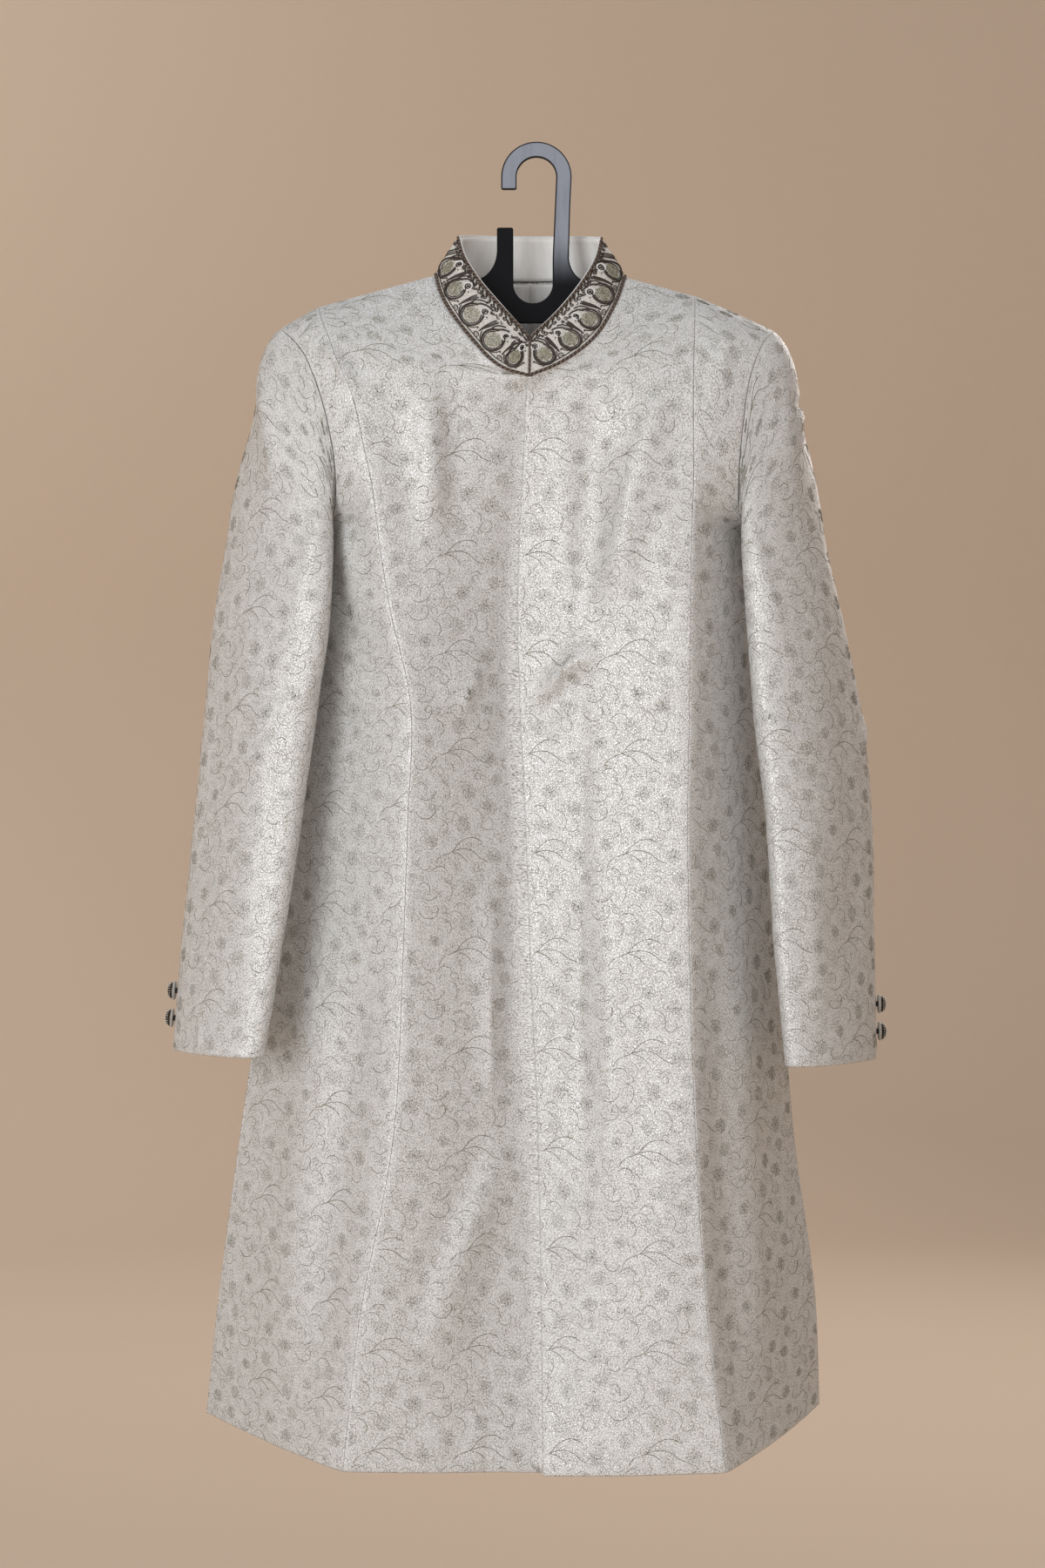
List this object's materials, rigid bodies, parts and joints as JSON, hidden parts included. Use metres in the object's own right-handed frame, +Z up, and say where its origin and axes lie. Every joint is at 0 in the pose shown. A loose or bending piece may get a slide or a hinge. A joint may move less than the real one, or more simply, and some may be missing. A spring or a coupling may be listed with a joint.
{
  "type": "sherwani coat on a hanger",
  "caption": "Knee-length sherwani coat in embroidered ivory brocade with a standing collar, hanging closed on a flat plastic hanger.",
  "frame": {"origin": "inner top of the hanger's hook, where it rests on a rail", "axes": "+Z up, the front faces -Y, +X towards the wearer's left"},
  "size_m": [0.6622, 0.2026, 1.1992],
  "materials": {
    "brocade": "ivory brocade with a soft sheen, embroidered in olive grey and gold thread",
    "satin": "plain cream satin",
    "button_metal": "antique dark metal ornament on a cloth rim",
    "hanger_plastic": "glossy black"
  },
  "bodies": {
    "root": {"front_right": "brocade", "front_left": "brocade", "side_right": "brocade", "side_left": "brocade", "back_right": "brocade", "back_left": "brocade", "top_sleeve_right": "brocade", "top_sleeve_left": "brocade", "under_sleeve_right": "brocade", "under_sleeve_left": "brocade", "collar": "brocade", "collar_lining": "satin", "back_neck_lining": "satin", "button_right_1": "button_metal", "button_right_2": "button_metal", "button_left_1": "button_metal", "button_left_2": "button_metal", "hanger": "hanger_plastic"}
  },
  "joints": []
}
